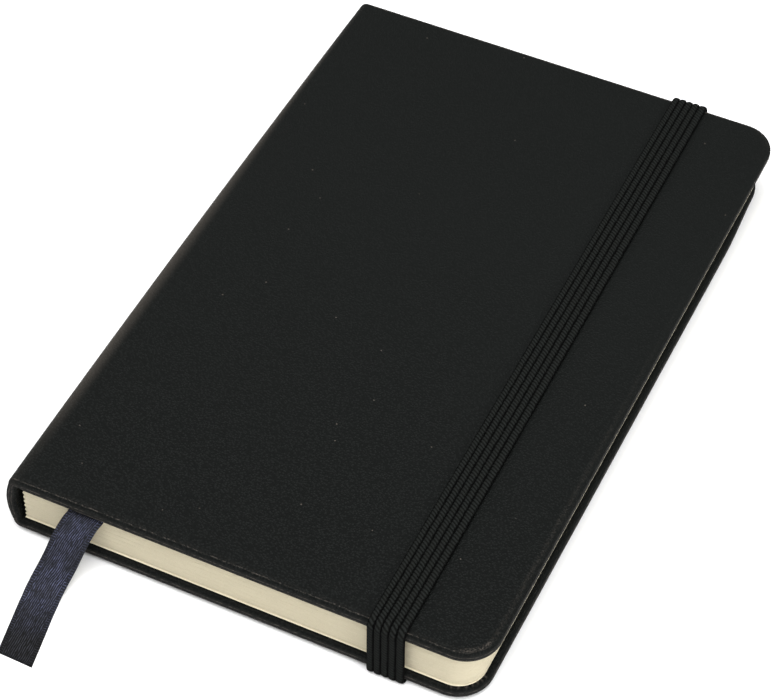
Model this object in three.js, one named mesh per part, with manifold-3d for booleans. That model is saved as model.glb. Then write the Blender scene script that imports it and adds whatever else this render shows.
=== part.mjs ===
// Pocket notebook: a case-bound, section-sewn book with an elastic closure and a ribbon marker.
// Millimetres, +Z up. X runs from the spine (-X) to the fore edge (+X), Y from the foot (-Y) to the head (+Y).
// The book lies closed on its back cover, and the origin is the middle of its footprint.
import * as THREE from "three";
import { mergeVertices } from "three/addons/utils/BufferGeometryUtils.js";
import Module from "manifold-3d";

const wasm = await Module();
wasm.setup();

// ---------- driving dimensions ----------
const COVER_WIDTH = 90;
const COVER_LENGTH = 140;
const CASE_HEIGHT = 12.7; // outside of back cover to outside of front cover
const CORNER_RADIUS = 6.6; // fore-edge corners of both covers
const BACK_SET_IN = 1.1; // the case is a little out of square: the back cover stops short at the fore edge
const SPINE_CORNER = 1; // outside radius of the leatherette where a cover meets the spine
const SPINE_BULGE = 0.6; // the spine stands out this far half way up
const SKIN = 0.35; // leatherette
const BOARD = 1.25; // greyboard of the covers
const SPINE_BOARD = 1.25;
const GLUE = 0.05; // glue line between layers that are stuck together
const PASTEDOWN = 0.15;
const LEAF = 0.1;
const TURN_IN = 9; // leatherette folded round the board and glued inside
const PASTEDOWN_INSET = 3;
const HEAD_SQUARE = 1.2; // the covers stand this far past the pages at head and foot
const FORE_SQUARE = 2.27;
const SECTIONS = 6;
const FLYLEAF_OUT = 0.2; // the back flyleaf stands out past the sections at head and foot
const FOLD_ROUND = 0.65; // depth of the rounding at the folded edge of a section
const LEAF_SETS_IN = [0.45, 0.7, 0.8]; // spine edges of the loose leaves, from the top one down
const ELASTIC_WIDTH = 6.9;
const ELASTIC = 0.95;
const ELASTIC_PRESSED = 0.62; // under the back cover, flattened by the book's weight
const ELASTIC_X = 26.75;
const ELASTIC_SLOT_Y = 58.5; // slots in the back cover, from the middle
const RIBBON_WIDTH = 6.8;
const RIBBON = 0.25;
const RIBBON_TAIL = 23.5; // past the foot of the covers
const ARC_STEPS = 9;

// ---------- places that follow from them ----------
const X_SPINE = -COVER_WIDTH / 2;
const X_FORE = COVER_WIDTH / 2;
const Y_HEAD = COVER_LENGTH / 2;
const Z_BACK = ELASTIC_PRESSED + GLUE; // outside of the back cover
const Z_FRONT = Z_BACK + CASE_HEIGHT; // outside of the front cover
const COVER = 2 * SKIN + 2 * GLUE + BOARD;
const JOINT = SPINE_CORNER + 1.4; // bare leatherette between a cover board and the spine corner
const BOARD_X = X_SPINE + JOINT + 0.4; // spine-side edge of the cover boards
const BLOCK_X = X_SPINE + 2; // sewn folds of the sections
const BLOCK_FORE = X_FORE - FORE_SQUARE;
const BLOCK_Y = Y_HEAD - HEAD_SQUARE;
const BACK_FLYLEAF_Z = Z_BACK + COVER + PASTEDOWN + 2 * GLUE;
const BLOCK_Z = BACK_FLYLEAF_Z + LEAF + 0.25; // the block lifts a little off its back flyleaf
const LEAF_PITCH = LEAF + GLUE;
const FRONT_INNER_Z = Z_FRONT - COVER - GLUE - PASTEDOWN; // inside of the front pastedown
const LEAVES_TOP = FRONT_INNER_Z - 0.1;
const LEAVES_BOTTOM = LEAVES_TOP - (LEAF_SETS_IN.length + 1) * LEAF_PITCH;
const RIBBON_Z = LEAVES_BOTTOM - GLUE - RIBBON / 2;
const BLOCK_TOP = RIBBON_Z - RIBBON / 2 - GLUE;
const SECTION = (BLOCK_TOP - BLOCK_Z) / SECTIONS;

// ---------- materials ----------
const leatherette = new THREE.MeshStandardMaterial({ color: 0x232523, roughness: 0.62, metalness: 0 });
const greyboard = new THREE.MeshStandardMaterial({ color: 0x8d8578, roughness: 0.95, metalness: 0 });
const paper = new THREE.MeshStandardMaterial({ color: 0xe6ddc0, roughness: 0.9, metalness: 0 });
const endpaper = new THREE.MeshStandardMaterial({ color: 0xe9e1c8, roughness: 0.9, metalness: 0 });
const elasticWeave = new THREE.MeshStandardMaterial({ color: 0x1c1d1b, roughness: 0.85, metalness: 0 });
const satin = new THREE.MeshStandardMaterial({ color: 0x26273a, roughness: 0.5, metalness: 0 });
const gauze = new THREE.MeshStandardMaterial({ color: 0xcfc8b4, roughness: 0.95, metalness: 0 });
const linenThread = new THREE.MeshStandardMaterial({ color: 0xeeeadd, roughness: 0.8, metalness: 0 });

// ---------- helpers ----------
const notebook = new THREE.Group();

function add(name, geometry, material) {
  const mesh = new THREE.Mesh(geometry, material);
  mesh.name = name;
  notebook.add(mesh);
}

// A closed geometry as a manifold-3d solid, for cutting and joining.
function solidOf(geometry) {
  const bare = geometry.index ? geometry.toNonIndexed() : geometry.clone();
  bare.deleteAttribute("normal");
  bare.deleteAttribute("uv");
  const merged = mergeVertices(bare, 1e-4);
  const vertProperties = merged.attributes.position.array;
  const triVerts = new Uint32Array(merged.index.array);
  return new wasm.Manifold(new wasm.Mesh({ numProp: 3, vertProperties, triVerts }));
}

function geometryOf(solid) {
  const mesh = solid.getMesh();
  const geometry = new THREE.BufferGeometry();
  geometry.setAttribute("position", new THREE.BufferAttribute(mesh.vertProperties, 3));
  geometry.setIndex(new THREE.BufferAttribute(mesh.triVerts, 1));
  return geometry;
}

function joined(...geometries) {
  return geometryOf(geometries.map(solidOf).reduce((all, one) => all.add(one)));
}

function cut(geometry, ...tools) {
  return geometryOf(tools.map(solidOf).reduce((left, tool) => left.subtract(tool), solidOf(geometry)));
}

function common(a, b) {
  return geometryOf(solidOf(a).intersect(solidOf(b)));
}

function box(x0, x1, y0, y1, z0, z1) {
  const geometry = new THREE.BoxGeometry(x1 - x0, y1 - y0, z1 - z0);
  return geometry.translate((x0 + x1) / 2, (y0 + y1) / 2, (z0 + z1) / 2);
}

// A sheet seen from above: square corners at the spine, round ones at the fore edge.
function sheetOutline(x0, x1, halfLength, radius) {
  const shape = new THREE.Shape();
  shape.moveTo(x0, -halfLength);
  shape.lineTo(x1 - radius, -halfLength);
  shape.absarc(x1 - radius, -halfLength + radius, radius, -Math.PI / 2, 0, false);
  shape.absarc(x1 - radius, halfLength - radius, radius, 0, Math.PI / 2, false);
  shape.lineTo(x0, halfLength);
  shape.closePath();
  return shape;
}

function extrude(shape, depth) {
  return new THREE.ExtrudeGeometry(shape, { depth, bevelEnabled: false, curveSegments: ARC_STEPS });
}

function slab(shape, z0, z1) {
  return extrude(shape, z1 - z0).translate(0, 0, z0);
}

function sheet(x0, x1, halfLength, radius, z0, z1) {
  return slab(sheetOutline(x0, x1, halfLength, radius), z0, z1);
}

// A shape drawn in X and Z, carried along Y.
function alongY(shape, y0, y1) {
  return extrude(shape, y1 - y0).rotateX(Math.PI / 2).translate(0, y1, 0);
}

// A shape drawn in Y and Z, carried along X.
function alongX(shape, x0, x1) {
  const turn = new THREE.Matrix4().makeBasis(
    new THREE.Vector3(0, 1, 0),
    new THREE.Vector3(0, 0, 1),
    new THREE.Vector3(1, 0, 0),
  );
  return extrude(shape, x1 - x0).applyMatrix4(turn).translate(x0, 0, 0);
}

// Mirrors a closed geometry in Z about the middle of the case, with its faces still pointing out.
function turnedOver(geometry) {
  return geometryOf(solidOf(geometry).mirror([0, 0, 1]).translate([0, 0, Z_BACK + Z_FRONT]));
}

// ---------- cover: board, leatherette wrapped round it, endpaper glued inside ----------
const boardZ = Z_BACK + SKIN + GLUE;
const boardTop = boardZ + BOARD;
const liningTop = Z_BACK + COVER;
const edge = SKIN + GLUE;

function coverBoard(fore) {
  const radius = CORNER_RADIUS - edge;
  const plate = sheet(BOARD_X, fore - edge, Y_HEAD - edge, radius, boardZ, boardTop);
  const inset = TURN_IN + edge;
  const infill = sheet(BOARD_X, fore - inset, Y_HEAD - inset, 3, boardTop - 0.1, liningTop);
  return joined(plate, infill);
}

function coverSkin(fore) {
  const wrap = sheet(BOARD_X, fore, Y_HEAD, CORNER_RADIUS, Z_BACK, liningTop);
  const past = BOARD_X - 1;
  const pocket = sheet(past, fore - SKIN, Y_HEAD - SKIN, CORNER_RADIUS - SKIN, Z_BACK + SKIN, boardTop + GLUE);
  const inset = TURN_IN + SKIN;
  const window = sheet(past, fore - inset, Y_HEAD - inset, 3, boardTop, liningTop + 1);
  return cut(wrap, pocket, window);
}

function pastedown(fore) {
  const half = Y_HEAD - PASTEDOWN_INSET;
  const radius = CORNER_RADIUS - PASTEDOWN_INSET;
  const z0 = liningTop + GLUE;
  return sheet(BOARD_X, fore - PASTEDOWN_INSET, half, radius, z0, z0 + PASTEDOWN);
}

add("front_board", turnedOver(coverBoard(X_FORE)), greyboard);
add("front_cover_skin", turnedOver(coverSkin(X_FORE)), leatherette);
add("front_pastedown", turnedOver(pastedown(X_FORE)), endpaper);

// The back cover has a slot at head and foot for the elastic, and a shallow bed inside for each glued end.
const slotClear = 0.15;
const anchorLength = 12;
const anchorTop = liningTop - 0.02;

function elasticBeds() {
  const x0 = ELASTIC_X - ELASTIC_WIDTH / 2 - slotClear;
  const x1 = ELASTIC_X + ELASTIC_WIDTH / 2 + slotClear;
  return [-1, 1].flatMap((side) => {
    const outer = side * (ELASTIC_SLOT_Y + ELASTIC / 2 + slotClear);
    const inner = side * (ELASTIC_SLOT_Y - ELASTIC / 2 - slotClear);
    const end = side * (ELASTIC_SLOT_Y - ELASTIC / 2 - anchorLength - slotClear);
    const [a, b] = [Math.min(outer, inner), Math.max(outer, inner)];
    const [c, d] = [Math.min(outer, end), Math.max(outer, end)];
    return [box(x0, x1, a, b, Z_BACK - 1, liningTop + 1), box(x0, x1, c, d, boardTop - 0.02, liningTop + 1)];
  });
}

const backFore = X_FORE - BACK_SET_IN;
add("back_board", cut(coverBoard(backFore), ...elasticBeds()), greyboard);
add("back_cover_skin", cut(coverSkin(backFore), ...elasticBeds()), leatherette);
add("back_pastedown", pastedown(backFore), endpaper);

// ---------- spine: board strip and its leatherette, with a flexible joint at each cover ----------
const spineTurnIn = 8;
const spineZ0 = Z_BACK + JOINT;
const spineZ1 = Z_FRONT - JOINT;

// Stations up the bulged spine, some way in from its outer face.
function spineLine(inset, z0, z1) {
  const middle = (Z_BACK + Z_FRONT) / 2;
  const reach = CASE_HEIGHT / 2 - SPINE_CORNER;
  const steps = 8;
  return Array.from({ length: steps + 1 }, (_, k) => {
    const z = z0 + ((z1 - z0) * k) / steps;
    const share = 1 - ((z - middle) / reach) ** 2;
    return new THREE.Vector2(X_SPINE + inset - SPINE_BULGE * share, z);
  });
}

// A layer of the spine between two insets from its outer face.
function spineLayer(outer, inner, half, z0, z1) {
  const outline = [...spineLine(inner, z0, z1), ...spineLine(outer, z0, z1).reverse()];
  return alongY(new THREE.Shape(outline), -half, half);
}

add("spine_board", spineLayer(edge, edge + SPINE_BOARD, Y_HEAD - edge, spineZ0, spineZ1), greyboard);

// The outer face, and at head and foot the leatherette turned in behind the board.
function spineSkin() {
  const behind = edge + SPINE_BOARD + GLUE;
  const low = spineZ0 - 0.5;
  const high = spineZ1 + 0.5;
  const wrap = spineLayer(0, behind + SKIN, Y_HEAD, spineZ0, spineZ1);
  const pocket = spineLayer(SKIN, behind, Y_HEAD - SKIN, low, high);
  const window = spineLayer(SKIN, behind + 2, Y_HEAD - SKIN - spineTurnIn, low, high);
  return cut(wrap, pocket, window);
}
add("spine_skin", spineSkin(), leatherette);

// The bend between a cover and the spine, drawn at the back cover.
function jointSkin() {
  const reach = BOARD_X - GLUE;
  const rise = Z_BACK + JOINT - GLUE;
  const cx = X_SPINE + SPINE_CORNER;
  const cz = Z_BACK + SPINE_CORNER;
  const shape = new THREE.Shape();
  shape.moveTo(reach, Z_BACK);
  shape.lineTo(reach, Z_BACK + SKIN);
  shape.lineTo(cx, Z_BACK + SKIN);
  shape.absarc(cx, cz, SPINE_CORNER - SKIN, -Math.PI / 2, -Math.PI, true);
  for (const at of spineLine(SKIN, cz, rise).slice(1)) shape.lineTo(at.x, at.y);
  for (const at of spineLine(0, cz, rise).reverse()) shape.lineTo(at.x, at.y);
  shape.absarc(cx, cz, SPINE_CORNER, Math.PI, 1.5 * Math.PI, false);
  shape.closePath();
  return alongY(shape, -Y_HEAD, Y_HEAD);
}
add("back_joint_skin", jointSkin(), leatherette);
add("front_joint_skin", turnedOver(jointSkin()), leatherette);

// ---------- text block: folded sections, sewn through their folds ----------
const blockRadius = CORNER_RADIUS - 1.5;

function pageSheet(z0, z1, setIn = 0, out = 0) {
  return sheet(BLOCK_X + setIn, BLOCK_FORE, BLOCK_Y + out, blockRadius, z0, z1);
}

// One section: its folded edge is round, so the folds stand out along the spine.
function section(index) {
  const z0 = BLOCK_Z + index * SECTION + GLUE / 2;
  const z1 = z0 + SECTION - GLUE;
  const half = (z1 - z0) / 2;
  const shape = new THREE.Shape();
  shape.moveTo(BLOCK_FORE + 1, z0);
  shape.lineTo(BLOCK_FORE + 1, z1);
  shape.lineTo(BLOCK_X + FOLD_ROUND, z1);
  shape.absellipse(BLOCK_X + FOLD_ROUND, z0 + half, FOLD_ROUND, half, Math.PI / 2, 1.5 * Math.PI, false);
  shape.closePath();
  return common(alongY(shape, -Y_HEAD, Y_HEAD), pageSheet(z0 - 1, z1 + 1));
}
for (let index = 0; index < SECTIONS; index += 1) add(`section_${index + 1}`, section(index), paper);

// Each loose leaf's spine edge is set in from the one above, which lets them turn past one another.
add("back_flyleaf", pageSheet(BACK_FLYLEAF_Z, BACK_FLYLEAF_Z + LEAF, 0, FLYLEAF_OUT), endpaper);
const flyleafZ = LEAVES_TOP - LEAF_PITCH;
add("front_flyleaf", pageSheet(flyleafZ, flyleafZ + LEAF), endpaper);
LEAF_SETS_IN.forEach((setIn, index) => {
  const z0 = flyleafZ - (index + 1) * LEAF_PITCH;
  add(`leaf_${index + 1}`, pageSheet(z0, z0 + LEAF, setIn), paper);
});

// Link stitches behind the folds, then the gauze and the paper strip that line the block's spine.
const threadRadius = 0.15;
const liningZ0 = BLOCK_Z + 0.4;
const liningZ1 = BLOCK_TOP - 0.4;

function sewingThread() {
  const stations = 5;
  const pitch = 26;
  const x = BLOCK_X - GLUE - threadRadius;
  const first = (-(stations - 1) / 2) * pitch;
  const rungZ0 = BLOCK_Z + SECTION / 2;
  const rungZ1 = BLOCK_TOP - SECTION / 2;
  const rung = (y) =>
    new THREE.CylinderGeometry(threadRadius, threadRadius, rungZ1 - rungZ0, 8)
      .rotateX(Math.PI / 2)
      .translate(x, y, (rungZ0 + rungZ1) / 2);
  const run = (z) =>
    new THREE.CylinderGeometry(threadRadius, threadRadius, (stations - 1) * pitch, 8).translate(x, 0, z);
  const rungs = Array.from({ length: stations }, (_, k) => rung(first + k * pitch));
  const runs = Array.from({ length: SECTIONS - 1 }, (_, k) => run(BLOCK_Z + (k + 1) * SECTION));
  return joined(...rungs, ...runs);
}
add("sewing_thread", sewingThread(), linenThread);

const gauzeX = BLOCK_X - 2 * GLUE - 2 * threadRadius;
const gauzeHalf = BLOCK_Y - 8;
add("spine_gauze", box(gauzeX - 0.1, gauzeX, -gauzeHalf, gauzeHalf, liningZ0, liningZ1), gauze);
add(
  "spine_lining",
  box(gauzeX - 0.24, gauzeX - 0.13, -gauzeHalf + 1, gauzeHalf - 1, liningZ0 + 0.1, liningZ1 - 0.1),
  gauze,
);

// ---------- elastic closure ----------
const elasticX0 = ELASTIC_X - ELASTIC_WIDTH / 2;
const elasticX1 = ELASTIC_X + ELASTIC_WIDTH / 2;
const legInner = Y_HEAD + 0.1;
const legOuter = legInner + ELASTIC;
const strapZ = Z_FRONT + GLUE;

// The strap over the front cover, rounded where it turns down at each end.
function elasticStrap() {
  const shape = new THREE.Shape();
  shape.moveTo(-legOuter, strapZ);
  shape.absarc(-legInner, strapZ, ELASTIC, Math.PI, Math.PI / 2, true);
  shape.lineTo(legInner, strapZ + ELASTIC);
  shape.absarc(legInner, strapZ, ELASTIC, Math.PI / 2, 0, true);
  shape.closePath();
  return alongX(shape, elasticX0, elasticX1);
}
add("elastic_strap", elasticStrap(), elasticWeave);

const legZ0 = Z_BACK;
const legZ1 = strapZ - GLUE;
add("elastic_foot_leg", box(elasticX0, elasticX1, -legOuter, -legInner, legZ0, legZ1), elasticWeave);
add("elastic_head_leg", box(elasticX0, elasticX1, legInner, legOuter, legZ0, legZ1), elasticWeave);

// Drawn for the head: round the edge, under the back cover, through the slot, and glued to the board's inside.
function elasticEnd() {
  const under = Z_BACK - GLUE;
  const low = under - ELASTIC_PRESSED;
  const slot0 = ELASTIC_SLOT_Y - ELASTIC / 2;
  const slot1 = ELASTIC_SLOT_Y + ELASTIC / 2;
  const pad0 = slot0 - anchorLength;
  const padZ = boardTop + 0.02;
  const shape = new THREE.Shape();
  shape.moveTo(legOuter, under);
  shape.absarc(legOuter - ELASTIC_PRESSED, under, ELASTIC_PRESSED, 0, -Math.PI / 2, true);
  shape.lineTo(slot0, low);
  shape.lineTo(slot0, padZ);
  shape.lineTo(pad0, padZ);
  shape.lineTo(pad0, anchorTop);
  shape.lineTo(slot1, anchorTop);
  shape.lineTo(slot1, under);
  shape.closePath();
  return alongX(shape, elasticX0, elasticX1);
}
add("elastic_head_end", elasticEnd(), elasticWeave);
add("elastic_foot_end", geometryOf(solidOf(elasticEnd()).mirror([0, 1, 0])), elasticWeave);

// ---------- ribbon marker ----------
// It hangs over the head edge of the top section, lies on the block under the loose leaves, and runs out over
// the foot onto whatever the book lies on. Each station is a point and the direction of the ribbon's width.
const bedded = RIBBON / 2 + 0.02;
const footY = -BLOCK_Y;
const tailY = -(Y_HEAD + RIBBON_TAIL);
const headY = BLOCK_Y + RIBBON / 2 + 0.1;
const ribbonStations = [
  { at: [-35.5, headY, RIBBON_Z - 3.4], across: [1, 0, 0] },
  { at: [-35.5, headY, RIBBON_Z - 1.6], across: [1, 0, 0] },
  { at: [-35.5, headY, RIBBON_Z - 0.3], across: [1, 0, 0] },
  { at: [-35.5, BLOCK_Y + 0.14, RIBBON_Z - 0.02], across: [1, 0, 0] },
  { at: [-35.5, BLOCK_Y - 0.2, RIBBON_Z], across: [1, 0, 0] },
  { at: [-35.5, BLOCK_Y - 0.8, RIBBON_Z], across: [1, 0, 0] },
  { at: [-35.4, BLOCK_Y - 6, RIBBON_Z], across: [1, 0.02, 0] },
  { at: [-34.3, 30, RIBBON_Z], across: [1, 0.03, 0] },
  { at: [-32.3, -20, RIBBON_Z], across: [1, 0.03, 0] },
  { at: [-30.5, footY + 8, RIBBON_Z], across: [1, 0.02, 0] },
  { at: [-30.2, footY + 1, RIBBON_Z], across: [1, 0.01, 0] },
  { at: [-30.2, footY + 0.1, RIBBON_Z], across: [1, 0.01, 0] },
  { at: [-30.2, footY - 0.6, RIBBON_Z - 0.1], across: [1, 0.01, 0] },
  { at: [-30.6, footY - 1.7, RIBBON_Z - 0.7], across: [1, 0, 0] },
  { at: [-31.6, footY - 3.8, RIBBON_Z - 2.9], across: [1, 0, 0] },
  { at: [-32.5, footY - 6.6, RIBBON_Z - 6.6], across: [1, 0, 0] },
  { at: [-32.9, footY - 9.8, bedded + 0.95], across: [1, 0, 0] },
  { at: [-33, footY - 11.6, bedded + 0.24], across: [1, 0, 0] },
  { at: [-32.9, footY - 13.4, bedded + 0.02], across: [1, 0, 0] },
  { at: [-32.7, footY - 15.4, bedded], across: [1, -0.01, 0] },
  { at: [-32, footY - 19.3, bedded], across: [1, -0.03, 0] },
  { at: [-30.2, tailY, bedded], across: [1, -0.05, 0] },
];

// A flat strip of the given section carried through the stations, as one closed body.
function strip(stations, width, thickness, steps) {
  const through = (vectors) => new THREE.CatmullRomCurve3(vectors, false, "centripetal");
  const line = through(stations.map((s) => new THREE.Vector3(...s.at)));
  const turns = through(stations.map((s) => new THREE.Vector3(...s.across)));
  const positions = [];
  const index = [];
  for (let k = 0; k <= steps; k += 1) {
    const t = k / steps;
    const centre = line.getPoint(t);
    const tangent = line.getTangent(t);
    const across = turns.getPoint(t);
    across.addScaledVector(tangent, -across.dot(tangent)).normalize();
    const up = new THREE.Vector3().crossVectors(across, tangent).normalize();
    for (const [u, v] of [[-1, -1], [1, -1], [1, 1], [-1, 1]]) {
      const corner = centre.clone();
      corner.addScaledVector(across, (u * width) / 2);
      corner.addScaledVector(up, (v * thickness) / 2);
      positions.push(corner.x, corner.y, corner.z);
    }
    if (k === 0) continue;
    const [near, far] = [4 * (k - 1), 4 * k];
    for (let side = 0; side < 4; side += 1) {
      const next = (side + 1) % 4;
      index.push(near + side, far + side, far + next, near + side, far + next, near + next);
    }
  }
  const last = 4 * steps;
  index.push(0, 1, 2, 0, 2, 3, last, last + 2, last + 1, last, last + 3, last + 2);
  const geometry = new THREE.BufferGeometry();
  geometry.setAttribute("position", new THREE.Float32BufferAttribute(positions, 3));
  geometry.setIndex(index);
  return geometry;
}
add("ribbon_marker", strip(ribbonStations, RIBBON_WIDTH, RIBBON, 4 * (ribbonStations.length - 1)), satin);

export default notebook;
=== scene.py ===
"""Pocket notebook: the visual model, in the CAD frame (X to the fore edge, Y to the head, Z up)."""
import math

import bpy
import numpy as np
from mathutils import Matrix, Vector, noise


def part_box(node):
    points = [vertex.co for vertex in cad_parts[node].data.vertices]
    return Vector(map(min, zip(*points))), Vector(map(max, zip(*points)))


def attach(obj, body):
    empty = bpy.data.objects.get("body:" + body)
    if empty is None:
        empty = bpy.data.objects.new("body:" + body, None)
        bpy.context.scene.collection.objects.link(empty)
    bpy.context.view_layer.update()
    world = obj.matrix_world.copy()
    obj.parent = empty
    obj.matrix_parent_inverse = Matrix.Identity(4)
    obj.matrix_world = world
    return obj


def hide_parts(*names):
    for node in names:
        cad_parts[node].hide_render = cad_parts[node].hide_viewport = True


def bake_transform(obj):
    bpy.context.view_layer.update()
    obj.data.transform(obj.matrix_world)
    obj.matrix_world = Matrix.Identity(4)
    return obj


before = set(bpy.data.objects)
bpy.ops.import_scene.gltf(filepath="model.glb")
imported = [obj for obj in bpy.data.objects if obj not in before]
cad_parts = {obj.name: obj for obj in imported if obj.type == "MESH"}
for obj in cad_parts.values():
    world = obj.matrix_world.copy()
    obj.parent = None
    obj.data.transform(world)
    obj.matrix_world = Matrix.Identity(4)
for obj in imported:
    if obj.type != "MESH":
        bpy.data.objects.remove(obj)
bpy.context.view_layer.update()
MM = 0.001


def box_mm(node):
    low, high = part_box(node)
    return np.array(low) / MM, np.array(high) / MM


# ---------------------------------------------------------------- places, from the CAD nodes
FRONT_LOW, FRONT_HIGH = box_mm("front_cover_skin")
BACK_LOW, BACK_HIGH = box_mm("back_cover_skin")
SPINE_HIGH = box_mm("spine_skin")[1]
STRAP_LOW, STRAP_HIGH = box_mm("elastic_strap")
BLOCK_HIGH = box_mm("section_1")[1]
FRONT_FORE = float(FRONT_HIGH[0])
X_SPINE = -FRONT_FORE  # the origin is the middle of the footprint
BACK_FORE = float(BACK_HIGH[0])
Y_HEAD = float(FRONT_HIGH[1])
Z_BACK = float(BACK_LOW[2])
Z_FRONT = float(FRONT_HIGH[2])
Z_MID = (Z_BACK + Z_FRONT) / 2
HALF_CASE = Z_FRONT - Z_MID
COVER = Z_FRONT - float(FRONT_LOW[2])
BOARD_X = float(FRONT_LOW[0])
CORNER = 6.6

# ---------------------------------------------------------------- camera
CAMERA_AT = (135.78, -305.34, 367.28)
AZIMUTH, ELEVATION, ROLL = (math.radians(a) for a in (24.938, 47.815, 0.788))
LENS = 124.2


def make_camera():
    data = bpy.data.cameras.new("camera")
    camera = bpy.data.objects.new("camera", data)
    bpy.context.scene.collection.objects.link(camera)
    bpy.context.scene.camera = camera
    data.lens = LENS
    data.sensor_width = 36.0
    data.clip_start = 0.01
    data.clip_end = 10.0
    back = Vector(
        (
            math.sin(AZIMUTH) * math.cos(ELEVATION),
            -math.cos(AZIMUTH) * math.cos(ELEVATION),
            math.sin(ELEVATION),
        )
    )
    right = Vector((math.cos(AZIMUTH), math.sin(AZIMUTH), 0.0))
    up = back.cross(right)
    c, s = math.cos(ROLL), math.sin(ROLL)
    turn = Matrix((c * right + s * up, c * up - s * right, back)).transposed().to_4x4()
    camera.matrix_world = Matrix.Translation(Vector(CAMERA_AT) * MM) @ turn


make_camera()


# ---------------------------------------------------------------- material helpers
class Nodes:
    """A small helper round one material's node tree."""

    def __init__(self, name):
        self.material = bpy.data.materials.new(name)
        self.material.use_nodes = True
        self.tree = self.material.node_tree
        self.bsdf = self.tree.nodes["Principled BSDF"]

    def node(self, kind, inputs=None, **settings):
        made = self.tree.nodes.new(kind)
        for key, value in settings.items():
            setattr(made, key, value)
        for key, value in (inputs or {}).items():
            self.feed(made.inputs[key], value)
        return made

    def feed(self, socket, value):
        if isinstance(value, bpy.types.NodeSocket):
            self.tree.links.new(value, socket)
        else:
            socket.default_value = value

    def shader(self, **inputs):
        for key, value in inputs.items():
            self.feed(self.bsdf.inputs[key.replace("_", " ")], value)

    def place(self):
        """The point in millimetres, fixed to the mesh."""
        coords = self.node("ShaderNodeTexCoord").outputs["Object"]
        scale = {"Vector": coords, "Scale": (1 / MM,) * 3}
        return self.node("ShaderNodeMapping", scale).outputs["Vector"]

    def uv(self):
        return self.node("ShaderNodeUVMap", uv_map="mm").outputs["UV"]

    def split(self, vector):
        return self.node("ShaderNodeSeparateXYZ", {"Vector": vector}).outputs

    def noise(self, vector, scale, detail, rough):
        inputs = {"Vector": vector, "Scale": scale, "Detail": detail, "Roughness": rough}
        return self.node("ShaderNodeTexNoise", inputs).outputs["Fac"]

    def voronoi(self, vector, scale):
        return self.node("ShaderNodeTexVoronoi", {"Vector": vector, "Scale": scale}).outputs["Distance"]

    def math(self, operation, a, b=0.0, clamp=False):
        made = self.node("ShaderNodeMath", operation=operation, use_clamp=clamp)
        self.feed(made.inputs[0], a)
        self.feed(made.inputs[1], b)
        return made.outputs[0]

    def span(self, value, low, high, to_low=0.0, to_high=1.0):
        made = self.node(
            "ShaderNodeMapRange",
            {
                "Value": value,
                "From Min": low,
                "From Max": high,
                "To Min": to_low,
                "To Max": to_high,
            },
        )
        return made.outputs["Result"]

    def mix(self, factor, a, b):
        made = self.node("ShaderNodeMix", data_type="RGBA")
        self.feed(made.inputs["Factor"], factor)
        self.feed(made.inputs[6], a)
        self.feed(made.inputs[7], b)
        return made.outputs[2]

    def attribute(self, name):
        made = self.node("ShaderNodeAttribute", attribute_name=name)
        return made.outputs["Fac"]

    def bump(self, height, distance_mm, strength=1.0, normal=None):
        inputs = {"Height": height, "Distance": distance_mm * MM, "Strength": strength}
        if normal is not None:
            inputs["Normal"] = normal
        return self.node("ShaderNodeBump", inputs).outputs["Normal"]


def srgb(r, g, b):
    def linear(v):
        v /= 255
        return v / 12.92 if v <= 0.04045 else ((v + 0.055) / 1.055) ** 2.4

    return (linear(r), linear(g), linear(b), 1.0)


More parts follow.
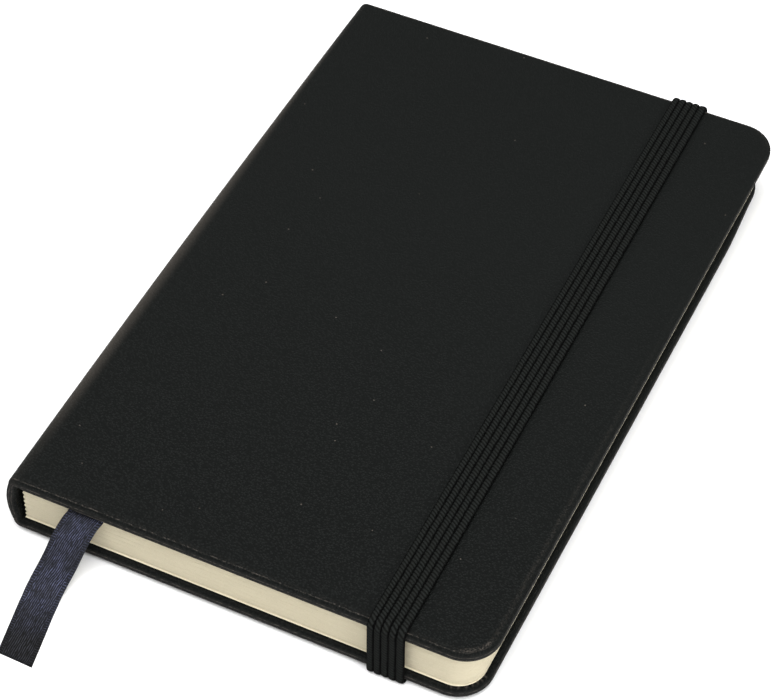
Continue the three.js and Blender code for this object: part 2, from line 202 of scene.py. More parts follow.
# ---------------------------------------------------------------- materials
def leatherette():
    """Fine-grained covering, worn along a thin line where it turns over the boards, with painted sheen and
    painted highlights at its edges and along the spine's corner.
    """
    m = Nodes("leatherette")
    p = m.place()
    grain = m.span(m.voronoi(p, 2.3), 0.1, 0.6, 1.0, 0.0)
    fine = m.noise(p, 5.5, 3.0, 0.6)
    patch = m.noise(p, 0.35, 4.0, 0.6)
    edge = m.math("ADD", m.attribute("edge"), m.span(m.noise(p, 0.8, 3.0, 0.6), 0.3, 0.7, -0.08, 0.08))
    line = m.span(m.math("ABSOLUTE", m.math("SUBTRACT", edge, 0.1)), 0.03, 0.15, 1.0, 0.0)
    broken = m.span(m.noise(p, 2.4, 4.0, 0.8), 0.46, 0.64)
    line = m.math("MULTIPLY", m.math("MULTIPLY", line, broken), m.attribute("rub"))
    # painted highlight: a light broken line where the edge turns down into its wall
    painted_edge_highlight = m.span(m.math("ABSOLUTE", m.math("SUBTRACT", edge, 1.15)), 0.02, 0.14, 0.55, 0.0)
    painted_edge_highlight = m.math("MULTIPLY", painted_edge_highlight, m.span(m.noise(p, 1.3, 3.0, 0.6), 0.4, 0.65))
    band = m.span(m.math("ABSOLUTE", m.math("ADD", edge, 0.35)), 0.1, 0.6, 1.0, 0.0)
    specks = m.span(m.noise(p, 4.0, 3.0, 0.7), 0.48, 0.62)
    flecks = m.math("MULTIPLY", m.math("MULTIPLY", band, specks), m.attribute("fleck"))
    # painted sheen from the mesh attribute: along the spine's rounded corner and on the pleats' crests
    sheen = m.math("MULTIPLY", m.attribute("painted_sheen"), m.span(fine, 0.3, 0.75, 0.5, 1.0), clamp=True)
    dust = m.span(m.voronoi(p, 0.17), 0.02, 0.03, 0.45, 0.0)
    # worn line, worn flecks and dust, together with the painted sheen and painted highlights
    wear_dust_and_painted_sheen = m.math("MAXIMUM", m.math("MAXIMUM", sheen, painted_edge_highlight), m.math("MAXIMUM", line, flecks))
    wear_dust_and_painted_sheen = m.math("MAXIMUM", wear_dust_and_painted_sheen, dust)
    dots = m.math("MULTIPLY", grain, m.span(fine, 0.35, 0.6, 0.35, 1.0))
    coarse = m.span(m.split(p)["Y"], 20, -60)
    quiet = m.mix(dots, srgb(15, 17, 16), srgb(20, 22, 21))
    strong = m.mix(dots, srgb(9, 11, 10), srgb(26, 28, 27))
    base = m.mix(coarse, quiet, strong)
    # the turn of the edge and its wall are painted lighter, a painted sheen
    base = m.mix(m.span(edge, 0.6, 0.9, 0.0, 0.6), base, srgb(30, 30, 29))
    # one light brown-grey for the wear and dust and for the painted sheen and highlights
    colour = m.mix(wear_dust_and_painted_sheen, base, srgb(104, 97, 90))
    groove = m.span(m.math("ABSOLUTE", m.math("SUBTRACT", edge, 0.5)), 0.0, 0.22, -1.0, 0.0)
    height = m.math("ADD", grain, m.math("MULTIPLY", fine, 0.6))
    height = m.math("ADD", height, groove)
    normal = m.bump(height, 0.09, 0.8, m.bump(patch, 0.06, 0.4))
    rough = m.span(edge, -0.3, 0.5, 0.62, 0.85)
    m.shader(Base_Color=colour, Roughness=rough, Normal=normal)
    m.bsdf.inputs["Specular IOR Level"].default_value = 0.09
    return m.material


def paper(name, light, dark):
    m = Nodes(name)
    p = m.place()
    fibre = m.noise(p, 2.2, 6.0, 0.65)
    cloud = m.noise(p, 0.08, 3.0, 0.5)
    colour = m.mix(m.span(cloud, 0.3, 0.7), light, dark)
    colour = m.mix(m.span(fibre, 0.35, 0.75, 0.0, 0.12), colour, srgb(168, 150, 118))
    normal = m.bump(fibre, 0.03, 0.35)
    m.shader(Base_Color=colour, Normal=normal)
    m.bsdf.inputs["Roughness"].default_value = 0.88
    m.bsdf.inputs["Specular IOR Level"].default_value = 0.2
    return m.material


def page_edges(name):
    """Paper whose cut edges show the sheets as fine uneven lines, and whose faces are plain."""
    m = Nodes(name)
    p = m.place()
    part = m.split(p)
    facing = m.split(m.node("ShaderNodeNewGeometry").outputs["True Normal"])["Z"]
    on_edge = m.math("LESS_THAN", m.math("ABSOLUTE", facing), 0.6)
    drift = m.noise(p, 0.12, 3.0, 0.6)
    level = m.math("ADD", part["Z"], m.math("MULTIPLY", drift, 0.3))
    stretched = m.node("ShaderNodeMapping", {"Vector": p, "Scale": (0.05, 0.05, 7.0)}).outputs[0]
    streaks = m.noise(stretched, 1.0, 4.0, 0.7)
    sheets = m.math("SINE", m.math("MULTIPLY", level, 2 * math.pi / 0.13))
    lines = m.math("ADD", m.math("MULTIPLY", m.span(sheets, -1, 1), 0.45), m.math("MULTIPLY", streaks, 0.75))
    shade = m.math("MULTIPLY", m.span(lines, 0.3, 0.95, 1.0, 0.0), on_edge, clamp=True)
    fibre = m.noise(p, 2.2, 6.0, 0.65)
    base = m.mix(m.span(fibre, 0.35, 0.75, 0.0, 0.5), srgb(206, 198, 174), srgb(199, 190, 165))
    colour = m.mix(m.math("MULTIPLY", shade, 0.35), base, srgb(158, 142, 112))
    normal = m.bump(m.math("MULTIPLY", lines, on_edge), 0.09, 0.7)
    m.shader(Base_Color=colour, Normal=normal)
    m.bsdf.inputs["Roughness"].default_value = 0.88
    m.bsdf.inputs["Specular IOR Level"].default_value = 0.18
    return m.material


def elastic():
    """A flat braid: slanted threads on each cord, and painted shade in the grooves between cords."""
    m = Nodes("elastic")
    uv = m.split(m.uv())
    cell, along = uv["X"], uv["Y"]
    within = m.math("SUBTRACT", cell, m.math("FLOOR", cell))
    off_middle = m.math("ABSOLUTE", m.math("SUBTRACT", within, 0.5))
    p = m.place()
    fuzz = m.noise(p, 4.5, 4.0, 0.7)
    patch = m.noise(p, 0.5, 3.0, 0.5)
    ragged = m.math("ADD", off_middle, m.span(m.noise(p, 2.8, 3.0, 0.7), 0.3, 0.7, -0.13, 0.13))
    between = m.span(ragged, 0.31, 0.45)
    slant = m.math("ADD", m.math("MULTIPLY", along, 1 / 0.7), m.math("MULTIPLY", within, 1.1))
    thread = m.span(m.math("SINE", m.math("MULTIPLY", slant, 2 * math.pi)), -0.8, 0.8)
    lit = m.math("ADD", m.math("MULTIPLY", thread, 0.4), m.math("MULTIPLY", fuzz, 0.6))
    base = m.mix(m.span(lit, 0.3, 0.7), srgb(12, 13, 12), srgb(31, 33, 32))
    base = m.mix(m.span(patch, 0.35, 0.7, 0.0, 0.3), base, srgb(25, 25, 23))
    # painted shade: the grooves between cords are made near black
    colour = m.mix(between, base, srgb(6, 6, 6))
    height = m.math("ADD", m.math("MULTIPLY", thread, 0.15), m.math("MULTIPLY", fuzz, 0.6))
    height = m.math("SUBTRACT", height, m.math("MULTIPLY", between, 1.5))
    normal = m.bump(height, 0.08, 0.7)
    m.shader(Base_Color=colour, Normal=normal)
    m.bsdf.inputs["Roughness"].default_value = 0.9
    m.bsdf.inputs["Specular IOR Level"].default_value = 0.02
    return m.material


def satin():
    """Dark satin: fine bright threads at a slant, and a dotted selvedge along each edge."""
    m = Nodes("satin_ribbon")
    uv = m.split(m.uv())
    across, along = uv["X"], uv["Y"]
    p = m.place()
    drift = m.math("MULTIPLY", m.noise(p, 0.5, 2.0, 0.5), 0.45)
    slant = m.math("ADD", across, m.math("ADD", m.math("MULTIPLY", along, 0.12), drift))
    warp = m.math("SINE", m.math("MULTIPLY", slant, 2 * math.pi / 0.38))
    stretched = m.node("ShaderNodeCombineXYZ", {"X": m.math("MULTIPLY", slant, 4.5), "Y": along}).outputs[0]
    threads = m.noise(stretched, 0.9, 4.0, 0.7)
    fuzz = m.noise(p, 5.0, 3.0, 0.7)
    picks = m.math("SINE", m.math("MULTIPLY", along, 2 * math.pi / 0.5))
    haze = m.noise(p, 0.3, 4.0, 0.6)
    selvedge = m.math("GREATER_THAN", m.math("ABSOLUTE", across), 2.6)
    shine = m.math("MULTIPLY", m.span(warp, -0.2, 0.8), m.span(threads, 0.4, 0.58))
    low = m.span(m.split(p)["Y"], -82, -90)
    base = m.mix(m.span(fuzz, 0.35, 0.65), srgb(9, 9, 12), srgb(30, 31, 38))
    base = m.mix(low, base, srgb(2, 2, 2))
    bright = m.mix(m.span(haze, 0.4, 0.6), srgb(61, 63, 77), srgb(84, 88, 114))
    bright = m.mix(low, bright, srgb(50, 51, 57))
    body = m.mix(shine, base, bright)
    dotted = m.math("MULTIPLY", m.span(picks, 0.2, 0.8), m.span(m.math("ADD", threads, fuzz), 0.85, 1.15))
    dots = m.mix(dotted, base, m.mix(0.15, bright, srgb(10, 10, 10)))
    colour = m.mix(selvedge, body, dots)
    height = m.math("ADD", m.math("MULTIPLY", warp, 0.5), m.math("MULTIPLY", fuzz, 0.8))
    normal = m.bump(height, 0.05, 0.7)
    m.shader(Base_Color=colour, Normal=normal)
    m.bsdf.inputs["Roughness"].default_value = 0.7
    m.bsdf.inputs["Specular IOR Level"].default_value = 0.15
    return m.material


def woven(name, light, dark, pitch, depth):
    """Open plain weave for the spine's gauze, or a twist along a thread."""
    m = Nodes(name)
    part = m.split(m.place())
    up = m.math("SINE", m.math("MULTIPLY", part["Z"], 2 * math.pi / pitch))
    along = m.math("SINE", m.math("MULTIPLY", part["Y"], 2 * math.pi / pitch))
    weave = m.math("MAXIMUM", up, along)
    colour = m.mix(m.span(weave, -0.2, 0.9), dark, light)
    m.shader(Base_Color=colour, Normal=m.bump(weave, depth, 0.8))
    m.bsdf.inputs["Roughness"].default_value = 0.92
    return m.material


LEATHERETTE = leatherette()
PAPER = page_edges("page_paper")
ENDPAPER = paper("endpaper", srgb(232, 224, 200), srgb(224, 215, 189))
LINING = paper("spine_paper", srgb(196, 182, 150), srgb(184, 170, 138))
ELASTIC = elastic()
SATIN = satin()
GAUZE = woven("gauze", srgb(214, 206, 184), srgb(120, 110, 90), 0.9, 0.08)
THREAD = woven("thread", srgb(238, 233, 220), srgb(190, 182, 164), 0.5, 0.06)


# ---------------------------------------------------------------- mesh helpers
def make_mesh(name, points_mm, faces, material, smooth=True, uvs=None, fields=None):
    mesh = bpy.data.meshes.new(name)
    points = np.asarray(points_mm, float) * MM
    mesh.from_pydata([tuple(p) for p in points], [], faces)
    mesh.materials.append(material)
    if smooth:
        mesh.polygons.foreach_set("use_smooth", [True] * len(mesh.polygons))
    if uvs is not None:
        layer = mesh.uv_layers.new(name="mm")
        for loop in mesh.loops:
            layer.data[loop.index].uv = uvs[loop.vertex_index]
    for field, values in (fields or {}).items():
        attribute = mesh.attributes.new(field, "FLOAT", "POINT")
        attribute.data.foreach_set("value", np.asarray(values, np.float32))
    mesh.update()
    made = bpy.data.objects.new(name, mesh)
    bpy.context.scene.collection.objects.link(made)
    return made


def grid_faces(rows, columns, wrap_rows=False, wrap_columns=False, start=0):
    faces = []
    for i in range(rows if wrap_rows else rows - 1):
        for j in range(columns if wrap_columns else columns - 1):
            a = start + i * columns + j
            b = start + i * columns + (j + 1) % columns
            c = start + ((i + 1) % rows) * columns + (j + 1) % columns
            d = start + ((i + 1) % rows) * columns + j
            faces.append((a, b, c, d))
    return faces


def smoothstep(low, high, value):
    t = np.clip((value - low) / (high - low), 0, 1)
    return t * t * (3 - 2 * t)


# ---------------------------------------------------------------- ribbon marker (the cord)
RIBBON_LOW, RIBBON_HIGH = box_mm("ribbon_marker")
RIBBON_WIDTH = 6.8
RIBBON_THICK = 0.25
BEDDED_Z = float(RIBBON_HIGH[2]) - RIBBON_THICK / 2
FLOOR_Z = RIBBON_THICK / 2 + 0.02
BLOCK_HALF = float(BLOCK_HIGH[1])
RIBBON_HEAD = BLOCK_HALF + RIBBON_THICK / 2 + 0.1
STEPS_A_STATION = 8
SELVEDGE = 0.42  # width of the thicker edge
RIBBON_COLUMNS = 23
# each station's place, and the way across the ribbon there
RIBBON_STATIONS = [
    ((-35.5, RIBBON_HEAD, BEDDED_Z - 3.4), (1, 0, 0)),
    ((-35.5, RIBBON_HEAD, BEDDED_Z - 1.6), (1, 0, 0)),
    ((-35.5, RIBBON_HEAD, BEDDED_Z - 0.3), (1, 0, 0)),
    ((-35.5, BLOCK_HALF + 0.14, BEDDED_Z - 0.02), (1, 0, 0)),
    ((-35.5, BLOCK_HALF - 0.2, BEDDED_Z), (1, 0, 0)),
    ((-35.5, BLOCK_HALF - 0.8, BEDDED_Z), (1, 0, 0)),
    ((-35.4, BLOCK_HALF - 6, BEDDED_Z), (1, 0.02, 0)),
    ((-34.3, 30, BEDDED_Z), (1, 0.03, 0)),
    ((-32.3, -20, BEDDED_Z), (1, 0.03, 0)),
    ((-30.5, -BLOCK_HALF + 8, BEDDED_Z), (1, 0.02, 0)),
    ((-30.2, -BLOCK_HALF + 1, BEDDED_Z), (1, 0.01, 0)),
    ((-30.2, -BLOCK_HALF + 0.1, BEDDED_Z), (1, 0.01, 0)),
    ((-30.2, -BLOCK_HALF - 0.6, BEDDED_Z - 0.1), (1, 0.01, 0)),
    ((-30.6, -BLOCK_HALF - 1.7, BEDDED_Z - 0.7), (1, 0, 0)),
    ((-31.4, -BLOCK_HALF - 3.8, BEDDED_Z - 2.9), (1, 0, 0)),
    ((-32.3, -BLOCK_HALF - 6.6, BEDDED_Z - 6.6), (1, 0, 0)),
    ((-33, -BLOCK_HALF - 9.8, FLOOR_Z + 0.95), (1, 0, 0)),
    ((-33, -BLOCK_HALF - 11.6, FLOOR_Z + 0.24), (1, 0, 0)),
    ((-32.75, -BLOCK_HALF - 13.4, FLOOR_Z + 0.02), (1, 0, 0)),
    ((-32.4, -BLOCK_HALF - 15.4, FLOOR_Z), (1, 0, 0)),
    ((-31.6, -BLOCK_HALF - 19.3, FLOOR_Z), (1, 0, 0)),
    ((-30.35, float(RIBBON_LOW[1]) + 0.17, FLOOR_Z), (1, -0.03, 0)),
]


def smooth_line(points, per_span):
    """A centripetal Catmull-Rom line through the points."""
    points = np.asarray(points, float)
    ends = [2 * points[0] - points[1], *points, 2 * points[-1] - points[-2]]
    out = []
    for k in range(len(points) - 1):
        p0, p1, p2, p3 = ends[k : k + 4]
        t1 = np.linalg.norm(p1 - p0) ** 0.5
        t2 = t1 + np.linalg.norm(p2 - p1) ** 0.5
        t3 = t2 + np.linalg.norm(p3 - p2) ** 0.5
        for t in np.linspace(t1, t2, per_span, endpoint=False):
            a1 = (t1 - t) / t1 * p0 + t / t1 * p1
            a2 = (t2 - t) / (t2 - t1) * p1 + (t - t1) / (t2 - t1) * p2
            a3 = (t3 - t) / (t3 - t2) * p2 + (t - t2) / (t3 - t2) * p3
            b1 = (t2 - t) / t2 * a1 + t / t2 * a2
            b2 = (t3 - t) / (t3 - t1) * a2 + (t - t1) / (t3 - t1) * a3
            out.append((t2 - t) / (t2 - t1) * b1 + (t - t1) / (t2 - t1) * b2)
    out.append(points[-1])
    return np.array(out)


def ribbon_marker():
    line = smooth_line([at for at, _ in RIBBON_STATIONS], STEPS_A_STATION)
    line[:, 2] = np.clip(line[:, 2], FLOOR_Z, BEDDED_Z)
    place = np.arange(len(line)) / STEPS_A_STATION
    stations = np.arange(len(RIBBON_STATIONS))
    across_ways = np.array([way for _, way in RIBBON_STATIONS], float)
    widths = np.stack([np.interp(place, stations, column) for column in across_ways.T], axis=-1)
    tangent = np.gradient(line, axis=0)
    tangent /= np.linalg.norm(tangent, axis=1)[:, None]
    widths /= np.linalg.norm(widths, axis=1)[:, None]
    up = np.cross(widths, tangent)
    up /= np.linalg.norm(up, axis=1)[:, None]
    run = np.concatenate([[0], np.cumsum(np.linalg.norm(np.diff(line, axis=0), axis=1))])
    half = RIBBON_WIDTH / 2
    face = np.linspace(-half, half, RIBBON_COLUMNS)
    across = np.concatenate([face, np.linspace(half, -half, RIBBON_COLUMNS)])
    side = np.concatenate([np.ones(RIBBON_COLUMNS), -np.ones(RIBBON_COLUMNS)])
    selvedge = np.where(np.abs(across) > half - SELVEDGE, 1.0, 0.62)
    selvedge = np.where(np.abs(across) > half - 0.05, 0.5, selvedge)
    points, uvs = [], []
    for k, centre in enumerate(line):
        lift = side * RIBBON_THICK / 2 * selvedge
        ring = centre + across[:, None] * widths[k] + lift[:, None] * up[k]
        points.extend(ring)
        uvs.extend((u, run[k]) for u in across)
    faces = grid_faces(len(line), len(across), wrap_columns=True)
    columns = len(across)
    last = (len(line) - 1) * columns
    faces.append(tuple(range(columns)))
    faces.append(tuple(last + j for j in reversed(range(columns))))
    piece = make_mesh("ribbon", points, faces, SATIN, uvs=uvs)
    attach(piece, "text_block")
    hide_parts("ribbon_marker")


ribbon_marker()

# ---------------------------------------------------------------- case: one skin of leatherette over the boards
SKIN_BEND = 1.6  # outside radius of the leatherette at each spine corner
SPINE_STRAIGHT = HALF_CASE - SKIN_BEND
ARC = math.pi / 2 * SKIN_BEND
BOARD_S = SPINE_STRAIGHT + ARC + BOARD_X - (X_SPINE + SKIN_BEND)  # cover board's spine edge, along the skin
SPINE_BOARD_S = float(SPINE_HIGH[2]) - Z_MID
SPINE_THICK = 1.95
JOINT_THICK = 1.75
INNER_BEND = 0.2  # radius of the case's inside corners
EDGE_ROUND = 0.75
SPINE_BULGE = 0.85  # how far the spine stands out half way up
SPINE_OUT = 0.2  # how far its corners stand out at head and foot
SPINE_BOW = 0.45  # and how much further half way along
INSET = 6.0  # how far in from the edge the rings run, less than the corner's radius


def folded(s, y, depth, side):
    """From the flat skin to the case: s runs from mid-spine to the fore edge, depth from the outside in."""
    corner = np.maximum(SKIN_BEND, depth + INNER_BEND)
    radius = corner - depth
    turn = np.clip((s - SPINE_STRAIGHT) / SKIN_BEND, 0, math.pi / 2)
    past = np.maximum(s - SPINE_STRAIGHT - ARC, 0)
    past = past - (corner - SKIN_BEND) * np.minimum(past / 3, 1)
    bulge = SPINE_BULGE * (1 - np.minimum(s / SPINE_STRAIGHT, 1) ** 2)
    bow = (SPINE_OUT + SPINE_BOW * (1 - (y / Y_HEAD) ** 2)) * (1 - smoothstep(0, 12, past))
    x = X_SPINE + corner - radius * np.cos(turn) + past - bulge - bow
    z = np.minimum(s / SPINE_STRAIGHT, 1) * (HALF_CASE - corner) + radius * np.sin(turn)
    return np.stack([x, y, Z_MID + side * z], axis=-1)


def thickness(s):
    """How thick the case is along the skin: spine board, bare joint, cover board."""
    spine = (1 - smoothstep(SPINE_BOARD_S - 0.3, SPINE_BOARD_S + 0.2, s)) * (SPINE_THICK - JOINT_THICK)
    cover = smoothstep(BOARD_S - 0.15, BOARD_S + 0.55, s) * (COVER - JOINT_THICK)
    return JOINT_THICK + spine + cover


def arm_stations(fore_s):
    spine = np.arange(0, BOARD_S + 1.2, 0.22)
    cover = np.arange(BOARD_S + 1.4, fore_s - CORNER - 0.5, 2.4)
    return np.concatenate([spine, cover])


def case_outline(fore_s):
    """Half of the case's edge in the flat skin: along the foot, round the corner, half way up the fore edge.
    Each station has its place, its outward direction and how far round the corner it is."""
    arm = arm_stations(fore_s)
    places = [(s, -Y_HEAD) for s in arm]
    outward = [(0.0, -1.0)] * len(arm)
    corner = [-1.0] * len(arm)
    centre = (fore_s - CORNER, -Y_HEAD + CORNER)
    steps = 72
    for k in range(steps + 1):
        angle = -math.pi / 2 + math.pi / 2 * k / steps
        direction = (math.cos(angle), math.sin(angle))
        places.append((centre[0] + CORNER * direction[0], centre[1] + CORNER * direction[1]))
        outward.append(direction)
        corner.append(k / steps)
    for y in np.arange(-Y_HEAD + CORNER + 2.4, -0.5, 2.4):
        places.append((fore_s, y))
        outward.append((1.0, 0.0))
        corner.append(-1.0)
    return np.array(places), np.array(outward), np.array(corner)


def edge_profile():
    """Rings from the inside face round the edge to the outside face. On a face the value is the inset from
    the edge in millimetres, and on an arc it is how far round in degrees."""
    rings = [("inner", d) for d in (INSET, 5.3, 4.5, 3.8, 3.2, 2.7, 2.2, 1.8, 1.4, 1.1)]
    rings += [("inner_arc", a) for a in np.linspace(0, 90, 7)]
    rings += [("wall", 0.5)]
    rings += [("outer_arc", a) for a in np.linspace(90, 0, 8)]
    rings += [("outer", d) for d in (0.8, 1.15, 1.6, 2.4, 3.6, 5.0, INSET)]
    return rings


def ring_shape(kind, value, thick):
    """Inset from the edge and depth of one ring, where the case is that thick."""
    r = np.minimum(EDGE_ROUND, thick / 2)
    if kind == "inner":
        return np.maximum(value, r) + 0 * thick, thick
    if kind == "outer":
        return np.maximum(value, r) + 0 * thick, 0 * thick
    if kind == "wall":
        return 0 * thick, thick / 2
    a = math.radians(value)
    inset = r - r * math.sin(a)
    if kind == "inner_arc":
        return inset, thick - r + r * math.cos(a)
    return inset, r - r * math.cos(a)


def ring_edge(kind, value):
    """How far a ring lies past the line where the edge starts to turn over, in millimetres."""
    if kind in ("inner", "outer"):
        return EDGE_ROUND - value
    if kind == "wall":
        return EDGE_ROUND * math.pi / 2 + 0.4
    return EDGE_ROUND * math.radians(value)


def pleat(corner, inset, kind):
    """Gathers of the turned-in leatherette round the inside of a corner."""
    if kind not in ("inner", "inner_arc"):
        return 0 * corner
    on = smoothstep(0.0, 0.12, corner) * (1 - smoothstep(0.88, 1.0, corner)) * (corner >= 0)
    folds = np.abs(np.sin(corner * math.pi * 8.5 + 0.6 * np.sin(corner * 9)))
    fade = 1 - smoothstep(2.0, 3.1, inset)
    grow = smoothstep(0.05, 0.9, inset)
    return on * (folds**0.6 - 0.75) * 0.34 * fade * grow


def rubbing(outward, y, side):
    """How strongly the edge line and the flecks show: most at the front cover's foot and corners."""
    turned = np.arctan2(outward[:, 0], np.abs(outward[:, 1])) / (math.pi / 2)
    hump = smoothstep(0.05, 0.4, turned) * (1 - smoothstep(0.6, 1.0, turned))
    line = 1 - smoothstep(0.3, 0.9, turned)
    if side < 0:
        return 0.2 * line, 0.1 * hump
    fade = 1 - 0.95 * smoothstep(-55, 30, y)
    return 0.52 * line, (0.04 + 0.1 * turned + 0.46 * hump) * fade


def painted_corner_sheen(s, y):
    """Painted sheen along the rounded corner between spine and cover, gone towards head and foot."""
    rise = smoothstep(SPINE_STRAIGHT - 0.2, SPINE_STRAIGHT + 0.7, s)
    reach = 4.2 - 1.5 * smoothstep(-10, 50, y)
    fall = 1 - smoothstep(SPINE_STRAIGHT + 1.0, SPINE_STRAIGHT + reach, s)
    return 0.42 * rise * fall * (1 - smoothstep(40, 68, np.abs(y)) * 0.85)


PUSHED_IN = 0.75  # how far the back cover's head corner is pushed in
PAINTED_PLEAT_SHEEN = 7  # painted highlight on the crests of the pleats, per millimetre


def pushed_in(s, y, fore_s):
    """How far each point of the back cover moves towards the spine, most at the head's fore corner."""
    return PUSHED_IN * smoothstep(46, 66, y) * smoothstep(fore_s - 12, fore_s, s)


def case_half(name, side, fore, stands_for):
    fore_s = SPINE_STRAIGHT + ARC + fore - (X_SPINE + SKIN_BEND)
    places, outward, corner = case_outline(fore_s)
    rings = edge_profile()
    mirrored = places * (1, -1)
    flip = outward * (1, -1)
    places = np.concatenate([places, mirrored[::-1]])
    outward = np.concatenate([outward, flip[::-1]])
    corner = np.concatenate([corner, corner[::-1]])
    line, specks = rubbing(outward, places[:, 1], side)
    points, painted_sheen, edge, rub, fleck = [], [], [], [], []
    for kind, value in rings:
        thick = thickness(places[:, 0])
        inset, depth = ring_shape(kind, value, thick)
        at = places - outward * inset[:, None]
        if side < 0:
            at[:, 0] -= pushed_in(at[:, 0], at[:, 1], fore_s)
        depth = depth + pleat(corner, inset, kind)
        points.append(folded(at[:, 0], at[:, 1], depth, side))
        # painted sheen along the spine's rounded corner, on the outside only
        painted_sheen.append(painted_corner_sheen(at[:, 0], at[:, 1]) * (kind in ("outer", "outer_arc")))
        # painted highlights on the crests of the pleats
        painted_sheen[-1] += PAINTED_PLEAT_SHEEN * np.maximum(pleat(corner, inset, kind) - 0.03, 0)
        edge.append(np.full(len(places), ring_edge(kind, value)))
        outside = kind in ("outer", "outer_arc", "wall")
        rub.append(line if outside else 0.3 * line)
        fleck.append(specks * outside)
    around = len(places)
    points = np.concatenate(points)
    painted_sheen = np.concatenate(painted_sheen)
    faces = grid_faces(len(rings), around)
    materials = [0] * len(faces)
    # the faces between the foot's ring and the head's: strips where the skin bends, one flat face past that
    rows = 24
    strips = int(np.searchsorted(arm_stations(fore_s), BOARD_S + 1.3))
    for k in (0, len(rings) - 1):
        kind = rings[k][0]
        first = k * around
        foot = places[:strips]
        inset, depth = ring_shape(kind, INSET, thickness(foot[:, 0]))
        low = foot - outward[:strips] * inset[:, None]
        start = len(points)
        grid, sheen_rows = [], []
        for row in range(1, rows):
            y = low[:, 1] * (1 - 2 * row / rows)
            grid.append(folded(low[:, 0], y, depth, side))
            # painted sheen along the spine's rounded corner, on the flat outer face too
            sheen_rows.append(painted_corner_sheen(low[:, 0], y) * (kind == "outer"))
        points = np.concatenate([points, *grid])
        painted_sheen = np.concatenate([painted_sheen, *sheen_rows])
        added = len(points) - start
        edge.append(np.full(added, EDGE_ROUND - INSET))
        rub.append(np.zeros(added))
        fleck.append(np.zeros(added))

        def index(row, i):
            if row == 0:
                return first + i
            if row == rows:
                return first + around - 1 - i
            return start + (row - 1) * strips + i

        for row in range(rows):
            for i in range(strips - 1):
                face = (index(row, i), index(row, i + 1), index(row + 1, i + 1), index(row + 1, i))
                faces.append(face if kind == "outer" else face[::-1])
                inside_spine = kind == "inner" and low[i, 0] < BOARD_S - 0.5
                materials.append(1 if inside_spine else 0)
        rim = [first + i for i in range(strips - 1, around - strips + 1)]
        rim += [index(row, strips - 1) for row in range(rows - 1, 0, -1)]
        faces.append(rim if kind == "outer" else rim[::-1])
        materials.append(0)
    fields = {
        "painted_sheen": painted_sheen,
        "edge": np.concatenate(edge),
        "rub": np.concatenate(rub),
        "fleck": np.concatenate(fleck),
    }
    if side < 0:
        faces = [face[::-1] for face in faces]
    piece = make_mesh(name, points, faces, LEATHERETTE, fields=fields)
    piece.data.materials.append(LINING)
    piece.data.polygons.foreach_set("material_index", materials)
    piece.data.validate()
    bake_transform(piece)
    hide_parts(*stands_for)


case_half(
    "front_cover_leather",
    1,
    FRONT_FORE,
    ("front_board", "front_cover_skin", "front_joint_skin", "spine_board", "spine_skin"),
)
case_half(
    "back_cover_leather",
    -1,
    BACK_FORE,
    ("back_board", "back_cover_skin", "back_joint_skin"),
)


# ---------------------------------------------------------------- leaves that turn
LEAF_INSET = 0.008  # the leaf is this much thinner than its CAD node on each face
RIPPLE = 0.008


def leaf(name, node, material, seed):
    low, high = box_mm(node)
    radius = CORNER - 1.5
    root = np.linspace(low[0], low[0] + 18, 37)
    flat = np.linspace(low[0] + 21, high[0] - radius, 18)[:-1]
    round_corner = high[0] - radius + radius * np.sin(np.linspace(0, math.pi / 2, 14))
    columns = np.concatenate([root, flat, round_corner])
    rows = np.linspace(-1, 1, 49)
    half_y = np.full(len(columns), high[1])
    past = np.clip(columns - (high[0] - radius), 0, radius)
    half_y -= radius - np.sqrt(np.maximum(radius**2 - past**2, 0))
    points = []
    for z in (low[2] + LEAF_INSET, high[2] - LEAF_INSET):
        for x, half in zip(columns, half_y):
            for row in rows:
                y = row * half
                ripple = RIPPLE * noise.noise(Vector((x * 0.05, y * 0.05, seed)))
                points.append((x, y, z + ripple))
    m, n = len(columns), len(rows)
    top = m * n
    faces = [f[::-1] for f in grid_faces(m, n, start=top)] + grid_faces(m, n)
    for i in range(m - 1):
        a, b = i * n, (i + 1) * n
        faces.append((a, top + a, top + b, b))
        c, d = a + n - 1, b + n - 1
        faces.append((c, d, top + d, top + c))
    for j in range(n - 1):
        faces.append((j, j + 1, top + j + 1, top + j))
        a = (m - 1) * n + j
        faces.append((a, top + a, top + a + 1, a + 1))
    piece = make_mesh(name, points, faces, material, smooth=False)
    z = (low[2] + high[2]) / 2
    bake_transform(piece)
    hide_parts(node)


leaf("front_flyleaf_sheet", "front_flyleaf", ENDPAPER, 1.0)
for number in (1, 2, 3):
    leaf(f"leaf_{number}_sheet", f"leaf_{number}", PAPER, 3.0 + number)


# ---------------------------------------------------------------- elastic band
BAND_X = float(STRAP_LOW[0] + STRAP_HIGH[0]) / 2
BAND_WIDTH = float(STRAP_HIGH[0] - STRAP_LOW[0])
BAND_THICK = 0.95
BAND_PRESSED = 0.62
CORD_EDGES = (0, 0.185, 0.38, 0.58, 0.775, 1)  # as shares of the band's width
CROWNS = (0.33, 0.36, 0.32, 0.36, 0.34)  # how far each cord stands out, as a share of the thickness
BAND_SLANT = -0.0075  # the strap runs a little askew over the cover
BAND_BEND = 1.3  # radius of its middle line over the cover's edge
SLOT_Y = 58.5  # middle of the slot in the back cover
SLOT_BEND = 0.9


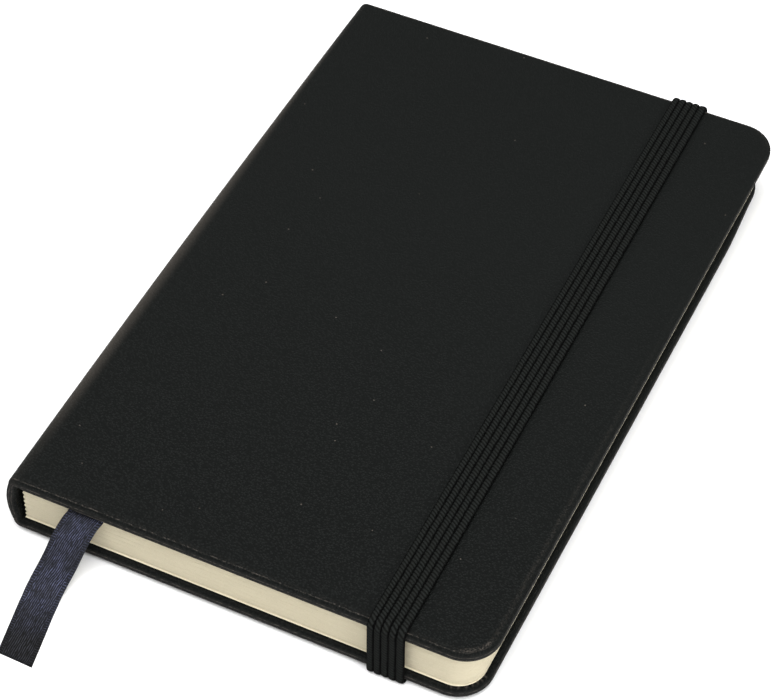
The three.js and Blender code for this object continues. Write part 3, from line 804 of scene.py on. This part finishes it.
def band_path():
    """The band's middle line from mid-strap to the head's slot in Y and Z, with its thickness there."""
    top = Z_FRONT + 0.05 + BAND_THICK / 2
    leg = Y_HEAD + 0.03 + BAND_THICK / 2
    under = Z_BACK - 0.03 - BAND_PRESSED / 2
    path = [(0, top, BAND_THICK)]
    path += [(y, top, BAND_THICK) for y in np.arange(4, leg - 1.6, 4)]
    for a in np.linspace(0, 90, 9):
        t = math.radians(a)
        y = leg - BAND_BEND + BAND_BEND * math.sin(t)
        path.append((y, top - BAND_BEND + BAND_BEND * math.cos(t), BAND_THICK))
    for z in np.linspace(top - BAND_BEND - 0.8, Z_BACK + 1.2, 9):
        path.append((leg, z, BAND_THICK))
    drop = Z_BACK + 0.55 - under
    for a in np.linspace(0, 90, 9):
        t = math.radians(a)
        share = a / 90
        thick = BAND_THICK + (BAND_PRESSED - BAND_THICK) * share
        y = leg - (leg - (Y_HEAD - 0.3)) * (1 - math.cos(t))
        z = Z_BACK + 0.55 - drop * math.sin(t)
        path.append((y, z, thick))
    for y in np.linspace(Y_HEAD - 1.2, SLOT_Y + 1.0, 7):
        path.append((y, under, BAND_PRESSED))
    for a in np.linspace(15, 90, 6):
        t = math.radians(a)
        y = SLOT_Y + SLOT_BEND - SLOT_BEND * math.sin(t)
        path.append((y, under + SLOT_BEND - SLOT_BEND * math.cos(t), BAND_PRESSED))
    path.append((SLOT_Y, Z_BACK + 1.3, BAND_PRESSED))
    return path


def band_section(thick):
    """Across the band: the outline of its cords side by side, as (cord, across, height) from the middle."""
    steps = 9
    top = []
    for k, crown in enumerate(CROWNS):
        left, right = CORD_EDGES[k], CORD_EDGES[k + 1]
        for j in range(steps if k < len(CROWNS) - 1 else steps + 1):
            t = j / steps
            across = (left + (right - left) * t - 0.5) * BAND_WIDTH
            high = crown * math.sqrt(max(0.0, 1 - (2 * t - 1) ** 2))
            top.append((k + t, across, thick * (0.14 + high)))
    bottom = [(cord, u, -h) for cord, u, h in reversed(top)]
    return top + bottom


def band():
    half = band_path()
    path = [(-y, z, t) for y, z, t in half[:0:-1]] + half
    line = np.array([(y, z) for y, z, _ in path])
    tangent = np.gradient(line, axis=0)
    tangent /= np.linalg.norm(tangent, axis=1)[:, None]
    outward = np.stack([-tangent[:, 1], tangent[:, 0]], axis=1)
    run = np.concatenate([[0], np.cumsum(np.linalg.norm(np.diff(line, axis=0), axis=1))])
    points, uvs = [], []
    for k, (y, z, thick) in enumerate(path):
        for cord, u, h in band_section(thick):
            points.append((BAND_X + BAND_SLANT * y + u, y + h * outward[k, 0], z + h * outward[k, 1]))
            uvs.append((cord, run[k]))
    columns = len(band_section(1.0))
    faces = [f[::-1] for f in grid_faces(len(path), columns, wrap_columns=True)]
    last = (len(path) - 1) * columns
    faces.append(tuple(reversed(range(columns))))
    faces.append(tuple(last + j for j in range(columns)))
    piece = make_mesh("elastic_band", points, faces, ELASTIC, uvs=uvs)
    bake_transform(piece)
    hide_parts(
        "elastic_strap",
        "elastic_head_leg",
        "elastic_foot_leg",
        "elastic_head_end",
        "elastic_foot_end",
    )


band()

# ---------------------------------------------------------------- CAD nodes that stay, with new materials
FINISHES = {
    "back_pastedown": ENDPAPER,
    "front_pastedown": ENDPAPER,
    "back_flyleaf": ENDPAPER,
    "sewing_thread": THREAD,
    "spine_gauze": GAUZE,
    "spine_lining": LINING,
    **{f"section_{k}": PAPER for k in range(1, 7)},
}
for node, material in FINISHES.items():
    shown = bpy.data.objects[node]
    shown.data.materials.clear()
    shown.data.materials.append(material)


# ---------------------------------------------------------------- floor and light
def floor():
    m = Nodes("floor")
    m.bsdf.inputs["Base Color"].default_value = (0.94, 0.94, 0.94, 1)
    m.bsdf.inputs["Roughness"].default_value = 0.9
    m.bsdf.inputs["Specular IOR Level"].default_value = 0.1
    half = 3000
    points = [(-half, -half, 0), (half, -half, 0), (half, half, 0), (-half, half, 0)]
    make_mesh("floor", points, [(0, 1, 2, 3)], m.material, smooth=False)


def area_light(name, at_mm, size_mm, watts):
    """A square lamp aimed at the origin."""
    data = bpy.data.lights.new(name, "AREA")
    data.shape = "SQUARE"
    data.size = size_mm * MM
    data.energy = watts
    lamp = bpy.data.objects.new(name, data)
    bpy.context.scene.collection.objects.link(lamp)
    lamp.location = Vector(at_mm) * MM
    lamp.rotation_mode = "QUATERNION"
    lamp.rotation_quaternion = (-lamp.location).to_track_quat("-Z", "Y")


def lighting():
    world = bpy.data.worlds.new("studio")
    bpy.context.scene.world = world
    world.use_nodes = True
    background = world.node_tree.nodes["Background"]
    background.inputs["Color"].default_value = (1, 1, 1, 1)
    background.inputs["Strength"].default_value = 0.25
    area_light("key", (60, -260, 950), 1000, 15.5)
    area_light("fore", (750, -250, 420), 450, 4.5)
    area_light("spine", (-750, 150, 420), 450, 1.6)
    bpy.context.scene.view_settings.view_transform = "Standard"


floor()
lighting()
